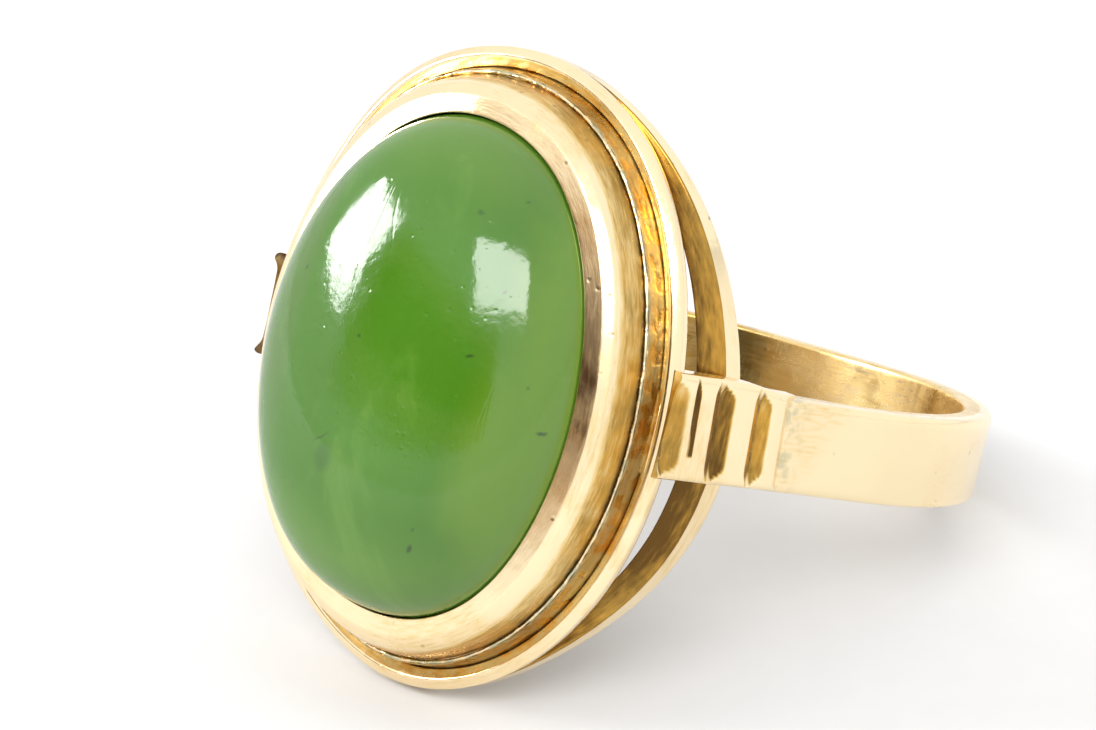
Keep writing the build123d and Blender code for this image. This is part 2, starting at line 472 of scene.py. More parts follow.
def gold_material():
    material, nodes, shader, place = new_material("worn_yellow_gold")
    flow = carried(nodes, "flow", "Vector")
    streaks = nodes.noise(nodes.vector("MULTIPLY", flow, (1.0, 1.0, 6.0)), 1.6, 3.0, 0.6)

    rosy = effect(nodes, soft_patches, Vector=place, Scale=260.0, Low=0.42, High=0.62)
    tone = nodes.mix_colour(rosy, yellow_gold, rosy_gold)
    # Convex edges are painted paler: rubbed gold and a painted highlight.
    tone = nodes.mix_colour(nodes.times(carried(nodes, "edge"), 0.6), tone, rubbed_and_highlit_edge)

    spread = nodes.plus(nodes.times(streaks, 1.1), nodes.times(rosy, 0.35))
    mottle = nodes.ramp(nodes.noise(place, 700.0, 3.0), 0.4, 0.62)
    brown = nodes.mix_colour(mottle, orange_brown, olive_brown)
    # The patina note paints golden brown into hollows, inner faces and far sides of notches: patina
    # and painted shade.
    brown_and_shade_level = nodes.plus(carried(nodes, "patina_and_shade"), nodes.minus(spread, bare_gold))
    patina_and_shade = nodes.ramp(brown_and_shade_level, 0.0, 0.55)
    for mask, colour in ((patina_and_shade, golden_brown), (nodes.ramp(brown_and_shade_level, 0.45, 1.15), brown),
                         (nodes.ramp(brown_and_shade_level, 1.0, 1.9), dark_brown)):
        tone = nodes.mix_colour(mask, tone, colour)

    grains = nodes.ramp(nodes.noise(place, 2600.0, 2.0), 0.4, 0.6)
    solder = nodes.times(carried(nodes, "solder"), grains)
    broken = nodes.ramp(nodes.noise(flow, 3.0, 4.0, 0.6), 0.35, 0.6, 0.35, 1.0)
    # Crevices are painted near black: dirt and painted shade in the seams and valleys.
    dirt_and_shade = nodes.times(carried(nodes, "crevice"), broken)
    scratches = effect(nodes, fine_scratches, Vector=place, Scale=1400.0, Thinness=0.018, Amount=0.6)
    pits = effect(nodes, small_pits, Vector=place, Scale=3200.0, Size=0.3, Share=0.06)
    for mask, colour in ((solder, pale_solder), (dirt_and_shade, dirt_and_shade_black),
                         (nodes.times(pits, 0.7), dirt_in_pits)):
        tone = nodes.mix_colour(mask, tone, colour)
    nodes.put(shader.inputs["Base Color"], tone)
    shader.inputs["Metallic"].default_value = 1.0

    cloudy = effect(nodes, soft_patches, Vector=place, Scale=420.0, Low=0.35, High=0.65)
    rough = nodes.ramp(cloudy, 0.0, 1.0, 0.11, 0.2)
    for mask, more in ((dirt_and_shade, 0.35), (patina_and_shade, 0.1), (solder, 0.12), (scratches, 0.12)):
        rough = nodes.math("ADD", rough, nodes.times(mask, more), clamp=True)
    nodes.put(shader.inputs["Roughness"], rough)

    dents = nodes.noise(place, 700.0, 2.0)
    drawn = nodes.noise(nodes.vector("MULTIPLY", flow, (1.0, 1.0, 5.0)), 2.2, 3.0, 0.55)
    add_relief(nodes, shader, nodes.times(drawn, 0.0000035), (
        (dents, 0.00001), (scratches, -0.0000015), (pits, -0.000006), (solder, 0.000012)))
    return material


gold = gold_material()
print("made", gold.name)

# %% [markdown]
# ## Jade
# The stone is nephrite: green, cloudy, and a little translucent, so light enters and spreads before
# it comes out. Its mesh carries each point's place on the face, in millimetres across and along, so
# the heart, the lighter sides and each dark inclusion can be put where the real one is. The stone is
# opaque enough to need no glass shader: subsurface scattering of a short reach gives its soft depth.

# %% Jade material
inclusion_table = [
    # name, across, along, half length, half width, turn in degrees, strength
    ("long dark fleck", 2.14, -4.24, 0.15, 0.06, 65.0, 0.85),
    ("fleck above it", 2.2, -3.69, 0.08, 0.04, 60.0, 0.6),
    ("thin line at the left", -1.01, -2.06, 0.30, 0.035, 38.0, 0.6),
    ("cloud below the line", -0.89, -2.6, 0.42, 0.3, 80.0, 0.3),
    ("fleck near the left edge", -3.01, 1.95, 0.12, 0.045, 60.0, 0.8),
    ("fleck in the middle", 2.8, 1.1, 0.12, 0.06, 20.0, 0.75),
    ("speck at the upper right", 1.79, 4.63, 0.11, 0.08, 0.0, 0.55),
    ("speck at the right", 4.61, -0.55, 0.07, 0.06, 0.0, 0.8),
    ("speck left of the heart", -0.5, 0.78, 0.08, 0.06, 0.0, 0.6),
    ("speck at the top right", 2.64, 5.09, 0.06, 0.05, 0.0, 0.5),
    ("speck at the right edge", 4.9, 0.74, 0.08, 0.06, 0.0, 0.55),
    ("faint speck", 4.23, 0.59, 0.05, 0.05, 0.0, 0.5),
    ("pit in the left highlight", -1.87, 2.93, 0.045, 0.035, 0.0, 0.9),
    ("second pit there", -1.58, 2.58, 0.04, 0.03, 0.0, 0.9),
    ("pit in the right highlight", 3.13, 2.87, 0.07, 0.04, 70.0, 0.9),
]
heart_green = (0.050, 0.155, 0.009, 1)
outer_green = (0.044, 0.135, 0.006, 1)
right_green = (0.10, 0.20, 0.014, 1)
left_green = (0.058, 0.13, 0.016, 1)
top_green = (0.082, 0.165, 0.02, 1)
bottom_green = (0.082, 0.185, 0.02, 1)
pale_vein = (0.11, 0.22, 0.03, 1)
dark_inclusion = (0.018, 0.045, 0.012, 1)
dark_speck = (0.03, 0.08, 0.02, 1)
dust = (0.05, 0.05, 0.022, 1)
heart_centre = (1.3, 0.4, 0.0)
heart_size = (2.4, 3.8, 1.0)


def jade_material():
    material, nodes, shader, place = new_material("polished_nephrite")
    on_face = carried(nodes, "on_face", "Vector")
    across, along, rise = nodes.parts(on_face)
    cloud = nodes.noise(place, 190.0, 3.0, 0.5, 0.6)
    veins = nodes.noise(nodes.vector("MULTIPLY", place, (1.0, 0.6, 0.35)), 420.0, 4.0, 0.6, 1.2)
    drift = nodes.times(nodes.minus(cloud, 0.5), 2.4)
    drifted_across = nodes.plus(across, drift)
    drifted_along = nodes.plus(along, drift)

    from_heart = nodes.vector("SUBTRACT", nodes.joined(drifted_across, drifted_along), heart_centre)
    heart = nodes.vector("LENGTH", nodes.vector("DIVIDE", from_heart, heart_size))
    tone = nodes.mix_colour(nodes.ramp(heart, 0.4, 1.3), heart_green, outer_green)
    left_bound = nodes.ramp(nodes.minus(nodes.times(drift, 0.2), across), 2.6, 2.8)
    zones = [
        # mask, colour, strength
        (nodes.ramp(drifted_across, 2.7, 4.0), right_green, 0.8),
        (nodes.times(left_bound, nodes.ramp(along, -3.5, -0.5)), left_green, 0.75),
        (nodes.ramp(drifted_along, 4.4, 6.0), top_green, 0.6),
        (nodes.ramp(drifted_along, -3.2, -5.4), bottom_green, 0.7),
        (nodes.ramp(veins, 0.52, 0.72), pale_vein, 0.4),
    ]
    for mask, colour, strength in zones:
        tone = nodes.mix_colour(nodes.times(mask, strength), tone, colour)

    jitter = nodes.add("ShaderNodeTexNoise", {"Vector": place, "Scale": 4000.0, "Detail": 2.0})
    ragged = nodes.vector("SCALE", nodes.vector("SUBTRACT", jitter.outputs["Color"], (0.5, 0.5, 0.5)))
    nodes.put(ragged.node.inputs["Scale"], 0.12)
    flat_place = nodes.vector("ADD", nodes.joined(across, along), ragged)
    for _, middle_across, middle_along, half_length, half_width, turn, strength in inclusion_table:
        turned = nodes.add("ShaderNodeMapping", {
            "Vector": flat_place, "Location": (middle_across, middle_along, 0.0),
            "Rotation": (0.0, 0.0, radians(turn)),
            "Scale": (half_length, half_width, 1.0)}, vector_type="TEXTURE")
        away = nodes.vector("LENGTH", nodes.vector("MULTIPLY", turned.outputs[0], (1.0, 1.0, 0.0)))
        spot = nodes.times(nodes.ramp(away, 1.25, 0.3), strength)
        tone = nodes.mix_colour(spot, tone, dark_inclusion)
    specks = effect(nodes, small_pits, Vector=place, Scale=900.0, Size=0.1, Share=0.04)
    tone = nodes.mix_colour(nodes.times(specks, 0.5), tone, dark_speck)
    dusty_back = nodes.ramp(rise, -0.6, -1.2)
    tone = nodes.mix_colour(dusty_back, tone, dust)
    nodes.put(shader.inputs["Base Color"], tone)
    shader.inputs["Subsurface Weight"].default_value = 0.25
    shader.inputs["Subsurface Radius"].default_value = (0.4, 1.0, 0.3)
    shader.inputs["Subsurface Scale"].default_value = 0.0006
    shader.inputs["IOR"].default_value = 1.61

    cloudy = effect(nodes, soft_patches, Vector=place, Scale=500.0, Low=0.35, High=0.65)
    rough = nodes.ramp(cloudy, 0.0, 1.0, 0.07, 0.12)
    nodes.put(shader.inputs["Roughness"], nodes.plus(rough, nodes.times(dusty_back, 0.5)))
    scratches = effect(nodes, fine_scratches, Vector=place, Scale=1100.0, Thinness=0.015, Amount=0.6)
    pits = effect(nodes, small_pits, Vector=place, Scale=5200.0, Size=0.4, Share=0.12)
    waves = nodes.noise(place, 1400.0, 2.0)
    grit = nodes.times(nodes.noise(place, 5200.0, 3.0, 0.6), 0.0000035)
    add_relief(nodes, shader, grit, ((waves, 0.00001), (scratches, -0.000003), (pits, -0.000004)))
    return material


jade = jade_material()
print("made", jade.name, "with", len(inclusion_table), "inclusions")

# %% [markdown]
# ## Sections with rounded corners
# A moulding is a section carried along a path. No edge of worn metal is sharp, so each corner of a
# section gets an arc. The function below walks round a table of corners, rounds each one, divides
# the straight runs and notes how near each point is to an edge, a crevice, brown patina with painted
# shade, or solder.

# %% Section helper
arc_steps = 6
run_step = 0.09
crevice_reach = 0.12


def rounded_section(corners):
    """Points of a closed section as rows of x, y, edge, crevice, patina and shade, solder.

    A corner is a name, x, y and a rounding, then its crevice, its patina and painted shade, and its
    solder. Last notes that are 0 can be left out.
    """
    points = []
    count = len(corners)
    for index, (_, x, y, rounding, *given) in enumerate(corners):
        crevice, patina_and_shade, solder = (given + [0.0, 0.0, 0.0])[:3]
        here = Vector((x, y))
        before = Vector(corners[index - 1][1:3])
        after = Vector(corners[(index + 1) % count][1:3])
        to_before = (before - here).normalized()
        to_after = (after - here).normalized()
        reach = rounding / max(0.05, tan(to_before.angle(to_after) / 2))
        reach = min(reach, 0.45 * (before - here).length, 0.45 * (after - here).length)
        first = here + to_before * reach
        last = here + to_after * reach
        outer = 1.0 if to_before.x * to_after.y - to_before.y * to_after.x > 0 else 0.0
        for step in range(arc_steps + 1):
            share = step / arc_steps
            bent = first * (1 - share) ** 2 + here * 2 * share * (1 - share) + last * share ** 2
            points.append((bent.x, bent.y, outer * (1 - abs(2 * share - 1)), crevice, patina_and_shade, solder))
    filled = []
    for index, point in enumerate(points):
        following = points[(index + 1) % len(points)]
        filled.append(point)
        length = (Vector(following[:2]) - Vector(point[:2])).length
        pieces = max(1, round(length / run_step))
        for piece in range(1, pieces):
            share = piece / pieces
            nearer = point if share < 0.5 else following
            fade = max(0.0, 1 - min(share, 1 - share) * length / crevice_reach)
            x, y, _, _, patina_and_shade, solder = (
                one * (1 - share) + other * share for one, other in zip(point, following))
            filled.append((x, y, 0.0, nearer[3] * fade, patina_and_shade, solder))
    return filled


def section_mesh(name, corners):
    """The section as a closed loop of edges, with its notes as attributes."""
    points = rounded_section(corners)
    mesh = bpy.data.meshes.new(name)
    count = len(points)
    loop = [(index, (index + 1) % count) for index in range(count)]
    mesh.from_pydata([(x, y, 0) for x, y, *_ in points], loop, [])
    for column, label in enumerate(("edge", "crevice", "patina_and_shade", "solder"), 2):
        layer = mesh.attributes.new(label, "FLOAT", "POINT")
        layer.data.foreach_set("value", [point[column] for point in points])
    return mesh


print("section helper ready")

# %% [markdown]
# ## Pieces from meshes
# Every piece ends the same way: its mesh is laid down and linked to the scene. Its faces have to
# point outwards, and the sign of the mesh's volume tells whether they do.

# %% Piece helpers
def signed_volume(mesh):
    """Six times the volume inside a closed mesh, below zero where its faces point inwards."""
    mesh.calc_loop_triangles()
    total = 0.0
    for triangle in mesh.loop_triangles:
        a, b, c = (mesh.vertices[index].co for index in triangle.vertices)
        total += a.dot(b.cross(c))
    return total


def laid_piece(name, mesh, placement):
    """Lays a mesh down, turns its faces outwards and makes an object of it."""
    mesh.transform(placement)
    if signed_volume(mesh) < 0:
        mesh.flip_normals()
    piece = bpy.data.objects.new(name, mesh)
    scene.collection.objects.link(piece)
    return piece


def solid_piece(name, points, faces, placement, material):
    """A smooth piece made straight from its points and faces."""
    mesh = bpy.data.meshes.new(name)
    mesh.from_pydata(points, [], faces)
    mesh.materials.append(material)
    for face in mesh.polygons:
        face.use_smooth = True
    return laid_piece(name, mesh, placement)


print("piece helpers ready")

# %% [markdown]
# ## Geometry Nodes that follow a rule
# The bezel, the solder, the outer ring, its rim and the gallery are carried round an oval. The band
# is a section carried round the finger, and a shoulder is a section carried along a line. Curve to
# Mesh makes each surface, and Set Position then moves every point to where the rule puts it, from
# two notes kept on the way: the place in the section and the place on the path. A goldsmith's file
# never leaves a perfect surface, so a little noise moves the points along their normals.

# %% Nodes of a sweep
def sweep_nodes(nodes, section, path, caps):
    """Carries the section along the path. Returns the mesh and the two notes kept on the way."""
    profile = nodes.add("GeometryNodeMeshToCurve", {"Mesh": section})
    curves = []
    places = []
    for curve, label in ((profile.outputs[0], "In Section"), (path, "On Path")):
        keep = nodes.add("GeometryNodeCaptureAttribute", {"Geometry": curve}, domain="POINT")
        keep.capture_items.new("VECTOR", label)
        nodes.put(keep.inputs[label], nodes.add("GeometryNodeInputPosition").outputs[0])
        curves.append(keep.outputs["Geometry"])
        places.append(nodes.parts(keep.outputs[label]))
    swept = nodes.add("GeometryNodeCurveToMesh", {
        "Profile Curve": curves[0], "Curve": curves[1], "Fill Caps": caps})
    return swept.outputs[0], places[0], places[1]


def section_note(nodes, name):
    """Reads a note that came with the section."""
    return nodes.add("GeometryNodeInputNamedAttribute", {"Name": name}, data_type="FLOAT").outputs[0]


def finish_nodes(nodes, mesh, position, notes, start, end):
    """Stores the notes, moves the points, adds the hand finish, smooth shading and material."""
    for name, value in notes.items():
        kind = "FLOAT_VECTOR" if name == "flow" else "FLOAT"
        stored = nodes.add("GeometryNodeStoreNamedAttribute", {
            "Geometry": mesh, "Name": name}, data_type=kind, domain="POINT")
        nodes.put(next(s for s in stored.inputs if s.name == "Value" and s.enabled), value)
        mesh = stored.outputs[0]
    placed = nodes.add("GeometryNodeSetPosition", {"Geometry": mesh, "Position": position})
    there = nodes.add("GeometryNodeInputPosition").outputs[0]
    wobble = nodes.noise(there, start["Wobble Scale"], 1.0)
    amount = nodes.times(nodes.minus(wobble, 0.5), start["Wobble"])
    moved = nodes.vector("SCALE", nodes.add("GeometryNodeInputNormal").outputs[0])
    nodes.put(moved.node.inputs["Scale"], amount)
    worked = nodes.add("GeometryNodeSetPosition", {"Geometry": placed.outputs[0], "Offset": moved})
    smooth = nodes.add("GeometryNodeSetShadeSmooth", {0: worked.outputs[0]})
    real = nodes.add("GeometryNodeRealizeInstances", {0: smooth.outputs[0]})
    dressed = nodes.add("GeometryNodeSetMaterial", {
        "Geometry": real.outputs[0], "Material": start["Material"]})
    nodes.put(end["Geometry"], dressed.outputs[0])


print("sweep nodes ready")

# %% [markdown]
# ## From a tree to a piece
# A modifier keeps a tree's inputs under identifiers, so the sizes are set by those. The piece is then
# taken from the evaluated object as a plain mesh, with its notes, and the modifier is removed.

# %% Tree tools
def shape_group(name, steps_name, steps, **numbers):
    """A tree that takes a section, its own sizes, the hand finish and a material."""
    inputs = [("Geometry", "NodeSocketGeometry", None), (steps_name, "NodeSocketInt", steps)]
    inputs += number_inputs(**numbers, wobble=0.01, wobble_scale=1.2)
    inputs.append(("Material", "NodeSocketMaterial", None))
    return new_group(name, "GeometryNodeTree", inputs, [("Geometry", "NodeSocketGeometry")])


def points_on_line(nodes, far_end, count):
    """Even points on a straight line from the origin."""
    line = nodes.add("GeometryNodeCurvePrimitiveLine", {"End": far_end}).outputs[0]
    return nodes.add("GeometryNodeResampleCurve", {"Curve": line, "Count": count}).outputs[0]


def shaped(name, tree, corners, placement, **values):
    """Runs a tree on a section, lays the result down and returns it as a plain mesh object."""
    carrier = bpy.data.objects.new(name + "_section", section_mesh(name + "_section", corners))
    scene.collection.objects.link(carrier)
    modifier = carrier.modifiers.new("Shape", "NODES")
    modifier.node_group = tree
    sockets = [item for item in tree.interface.items_tree if item.in_out == "INPUT"]
    identifiers = {item.name: item.identifier for item in sockets}
    for label, value in dict(values, material=gold).items():
        modifier[identifiers[label_of(label)]] = value
    graph = bpy.context.evaluated_depsgraph_get()
    mesh = bpy.data.meshes.new_from_object(
        carrier.evaluated_get(graph), preserve_all_data_layers=True, depsgraph=graph)
    carrier.modifiers.remove(modifier)
    bpy.data.objects.remove(carrier)
    mesh.name = name
    print(name, len(mesh.polygons), "faces")
    return laid_piece(name, mesh, placement)


print("tree tools ready")

# %% [markdown]
# ## The oval mouldings
# The tree for the ovals takes a section of offset and depth. The head was made by hand and is a
# little narrower at its left, so an input draws the offsets in there. The seams are painted dark, as
# dirt and painted shade, at the sides of the oval, and another input fades that paint towards its
# ends.
# The oval is also uneven, with swells and flats of up to 0.15 mm. Noise could make it uneven, but not
# in the right places, so a small table lists them. The gallery uses the same tree with its depth bent
# over the finger.

# %% Uneven places of the oval
dent_table = [
    # name, angle round the oval, width in degrees, amount at the lip, the rim, the gallery strip
    ("upper left swell", 126.0, 16.0, 0.0, 0.15, 0.10),
    ("flat at the top", 87.0, 20.0, -0.13, -0.10, -0.12),
    ("upper right swell", 47.0, 17.0, 0.0, 0.0, 0.09),
    ("flat above the shoulder", 12.0, 22.0, -0.10, -0.11, -0.11),
    ("swell below the shoulder", -28.0, 14.0, 0.0, 0.02, 0.10),
    ("lower right swell", -50.0, 18.0, 0.13, 0.03, -0.02),
    ("flat at the bottom", -97.0, 18.0, -0.15, 0.0, 0.0),
    ("flat at the lower left", -112.0, 17.0, 0.0, -0.15, -0.10),
]


def dent_power(width):
    """The power of the cosine that falls to one half at the width."""
    return log(0.5) / log(cos(radians(width)))


def lip_dents(turn):
    """All dents at the lip, in millimetres, at an angle round the oval."""
    return sum(at_lip * max(0.0, cos(turn - radians(angle))) ** dent_power(width)
               for _, angle, width, at_lip, _, _ in dent_table)


print("at the lip", [round(lip_dents(radians(angle)), 2) for angle in range(0, 360, 30)])

# %% [markdown]
# ## One tree for every oval
# A torus or a lathed ring scaled to an oval would be thicker at its long ends. Here each point of the
# section has an offset instead, and the oval grows by it in both directions, so the wall stays even.

# %% Oval moulding tree
mean_reach = 7.0


def oval_tree(name, bent):
    """A section of offset and depth carried round the stone's opening, flat or bent."""
    bend = dict(bend_radius=gallery_bend, flat_width=gallery_flat, top_depth=gallery_top_depth)
    nodes, start, end = shape_group(
        name, "Turns", 256, half_width=opening_half_width, half_length=opening_half_length,
        left_narrowing=0.13, clean_ends=0.0, **(bend if bent else {}))
    circle = nodes.add("GeometryNodeCurvePrimitiveCircle", {"Resolution": start["Turns"]})
    nodes.put(circle.inputs["Radius"], 1.0)
    mesh, section, path = sweep_nodes(nodes, start["Geometry"], circle.outputs[0], False)
    path_place = nodes.joined(path[0], path[1])
    depth = section[1]
    leftness = nodes.math("POWER", nodes.math("MAXIMUM", nodes.times(path[0], -1.0), 0.0), 2.0)
    drawn_in = nodes.times(leftness, nodes.ramp(section[0], 0.0, 0.7))
    offset = nodes.minus(section[0], nodes.times(drawn_in, start["Left Narrowing"]))
    towards_rim = nodes.ramp(section[0], 0.1, 1.3)
    for _, angle, width, at_lip, at_rim, at_gallery in dent_table:
        facing = (cos(radians(angle)), sin(radians(angle)), 0.0)
        towards_dent = nodes.math("MAXIMUM", nodes.vector("DOT_PRODUCT", path_place, facing), 0.0)
        share = nodes.math("POWER", towards_dent, dent_power(width))
        outside = at_gallery if bent else at_rim
        amount = nodes.plus(at_lip, nodes.times(towards_rim, outside - at_lip))
        offset = nodes.plus(offset, nodes.times(share, amount))
    x = nodes.times(nodes.plus(start["Half Width"], offset), path[0])
    z = nodes.times(nodes.plus(start["Half Length"], offset), path[1])
    if bent:
        beyond = nodes.minus(nodes.math("ABSOLUTE", x), nodes.times(start["Flat Width"], 0.5))
        beyond = nodes.math("MAXIMUM", beyond, 0.0)
        radius = nodes.minus(start["Bend Radius"], depth)
        fall = nodes.minus(nodes.math("POWER", radius, 2.0), nodes.math("POWER", beyond, 2.0))
        depth = nodes.minus(nodes.plus(start["Top Depth"], start["Bend Radius"]),
                           nodes.math("SQRT", fall))
    position = nodes.joined(x, nodes.minus(depth, finger_to_lip), z)
    flow = nodes.joined(nodes.times(path[0], mean_reach), nodes.times(path[1], mean_reach),
                        nodes.plus(section[0], section[1]))
    # The crevice note, painted dark as dirt and painted shade, fades towards the ends of the oval.
    at_sides = nodes.ramp(nodes.math("ABSOLUTE", path[0]), 0.35, 0.65)
    faded_at_ends = nodes.times(start["Clean Ends"], nodes.minus(1.0, at_sides))
    kept = nodes.minus(1.0, faded_at_ends)
    crevice = nodes.times(section_note(nodes, "crevice"), kept)
    finish_nodes(nodes, mesh, position, {"flow": flow, "crevice": crevice}, start, end)
    return nodes.tree


flat_oval = oval_tree("Oval moulding", False)
bent_oval = oval_tree("Bent oval strip", True)
print("trees:", flat_oval.name, "and", bent_oval.name)

# %% [markdown]
# ## Bezel, solder, outer ring and rim
# The bezel is the tube that holds the stone. Its lip is bevelled, its wall falls steeply to a seam,
# and there a thread of pale solder joins it to the outer ring. The outer ring has a steep face, and a
# wire runs round its foot as a rim. The wire isn't quite round: wear has left five flats on it.

# %% Bezel, solder, outer ring and rim
# The patina numbers paint the wall's brow and foot golden brown: patina and painted shade in the
# hollow.
bezel_corners = [
    # name, offset, depth, rounding, crevice as dirt and painted shade, patina and painted shade,
    # solder
    ("lip at the stone", -0.06, 0.0, 0.03),
    ("lip's outer edge", 0.47, 0.1, 0.22),
    ("crest", 0.74, 0.3, 0.35, 0.0, 0.05),
    ("brow", 0.89, 0.62, 0.7, 0.0, 0.85),
    ("foot of the wall", 1.015, 1.2, 0.02, 1.0, 1.1),
    ("under the foot", 1.015, 1.4, 0.02, 1.0, 1.0),
    ("tube below the ring", 0.53, 1.4, 0.02, 0.0, 0.3),
    ("back of the tube", 0.53, 2.45, 0.08, 0.0, 0.3),
    ("back of the seat", -0.67, 2.45, 0.08, 0.0, 0.3),
    ("front of the seat", -0.67, 1.9, 0.04, 0.0, 0.5),
    ("seat's corner", 0.03, 1.9, 0.02, 1.0, 1.0),
    ("wall at the girdle", 0.03, 0.5, 0.02, 1.0, 1.0),
]
solder_corners = [
    ("solder at the bezel", 1.025, 1.24, 0.02, 0.5, 0.0, 1.0),
    ("solder's crown", 1.08, 1.185, 0.05, 0.0, 0.0, 1.0),
    ("solder at the ring", 1.135, 1.24, 0.02, 0.5, 0.0, 1.0),
    ("solder's foot", 1.08, 1.34, 0.02, 0.5, 0.0, 1.0),
]
# The outer ring's face is painted golden brown by its patina numbers: patina and painted shade in the
# groove.
outer_ring_corners = [
    ("inner foot", 0.67, 1.3, 0.02, 1.0),
    ("bottom of the seam", 1.10, 1.3, 0.02, 1.0),
    ("start of the face", 1.155, 1.215, 0.03, 0.5, 0.8, 0.5),
    ("middle of the face", 1.18, 1.6, 0.6, 0.0, 0.85, 0.6),
    ("foot of the face", 1.26, 1.93, 0.03, 1.0, 0.85, 0.55),
    ("under the rim", 1.42, 2.0, 0.03),
    ("edge of the back", 1.42, 2.01, 0.01),
    ("back of the ring", 0.67, 2.01, 0.05, 0.0, 0.3),
]
rim_flats = (-35.0, 42.0, 100.0, 180.0, 250.0, 325.0)
flat_reach = 0.255
rim_corners = []
for facing, next_facing in zip(rim_flats, rim_flats[1:]):
    corner_angle = radians((facing + next_facing) / 2)
    corner_reach = flat_reach / cos(radians((next_facing - facing) / 2))
    rim_corners.append(("corner of the rim", rim_offset + corner_reach * sin(corner_angle),
                        rim_depth - corner_reach * cos(corner_angle), 0.13))
bezel = shaped("bezel", flat_oval, bezel_corners, lay_down, wobble=0.014, clean_ends=0.7)
solder_seam = shaped(
    "solder_seam", flat_oval, solder_corners, lay_down, wobble=0.09, wobble_scale=9.0, clean_ends=0.8)
outer_ring = shaped(
    "outer_ring", flat_oval, outer_ring_corners, lay_down, wobble=0.02, clean_ends=0.7)
rim = shaped("rim", flat_oval, rim_corners, lay_down, wobble=0.014)

# %% [markdown]
# ## Gallery strip
# Behind the outer ring an oval strip lifts the head off the finger. Its ends touch the ring, and its
# sides bend down over the finger and meet the shoulders. Its front is painted brown, as patina and
# painted shade.

# %% Gallery strip
gallery_inner_offset = gallery_outer_offset - gallery_width
gallery_corners = [
    ("outer front", gallery_outer_offset, 0.0, 0.06, 0.0, 1.4),
    ("outer wall", gallery_outer_offset, 0.1, 0.05),
    ("outer back", gallery_outer_offset, gallery_thickness, 0.12),
    ("inner back", gallery_inner_offset, gallery_thickness, 0.06, 0.0, 0.7),
    ("inner front", gallery_inner_offset, 0.0, 0.06, 0.0, 1.85),
]
gallery_strip = shaped("gallery_strip", bent_oval, gallery_corners, lay_down, wobble=0.012)

# %% [markdown]
# ## Shoulders
# Each shoulder is a bar with rounded edges, filed across in three notches and one short groove. The
# tree carries the bar's section along a line, then lowers each point that stands above a notch. A
# smooth minimum does this, so the crests come out softly worn. The file was held askew, so each cut
# lies further along at its lower end, and its far side is the longer one. Boolean cuts would give
# sharp edges and an uneven mesh instead. Towards the bar's long edges the notches run out.
# Dirt and painted shade darken the valleys, brown patina and painted shade lie mostly on the far
# sides, and near the band the bar's upper edge is worn down.

# %% Notched bar tree
notch_table = [
    # name, valley, near width, far width, depth, patina and painted shade on the far side, fades
    # towards the lower edge
    ("Head Notch", -0.05, 0.5, 0.6, 0.2, 0.85, False),
    ("Groove", 0.76, 0.09, 0.13, 0.13, 1.8, True),
    ("Middle Notch", 1.65, 0.31, 0.44, 0.2, 1.45, False),
    ("Last Notch", 3.0, 0.29, 0.39, 0.2, 1.15, False),
]
half_bar = shoulder_width / 2
notch_runout = 0.6
bare_edge = 0.05
worn_length = 1.4
worn_corner = 0.13


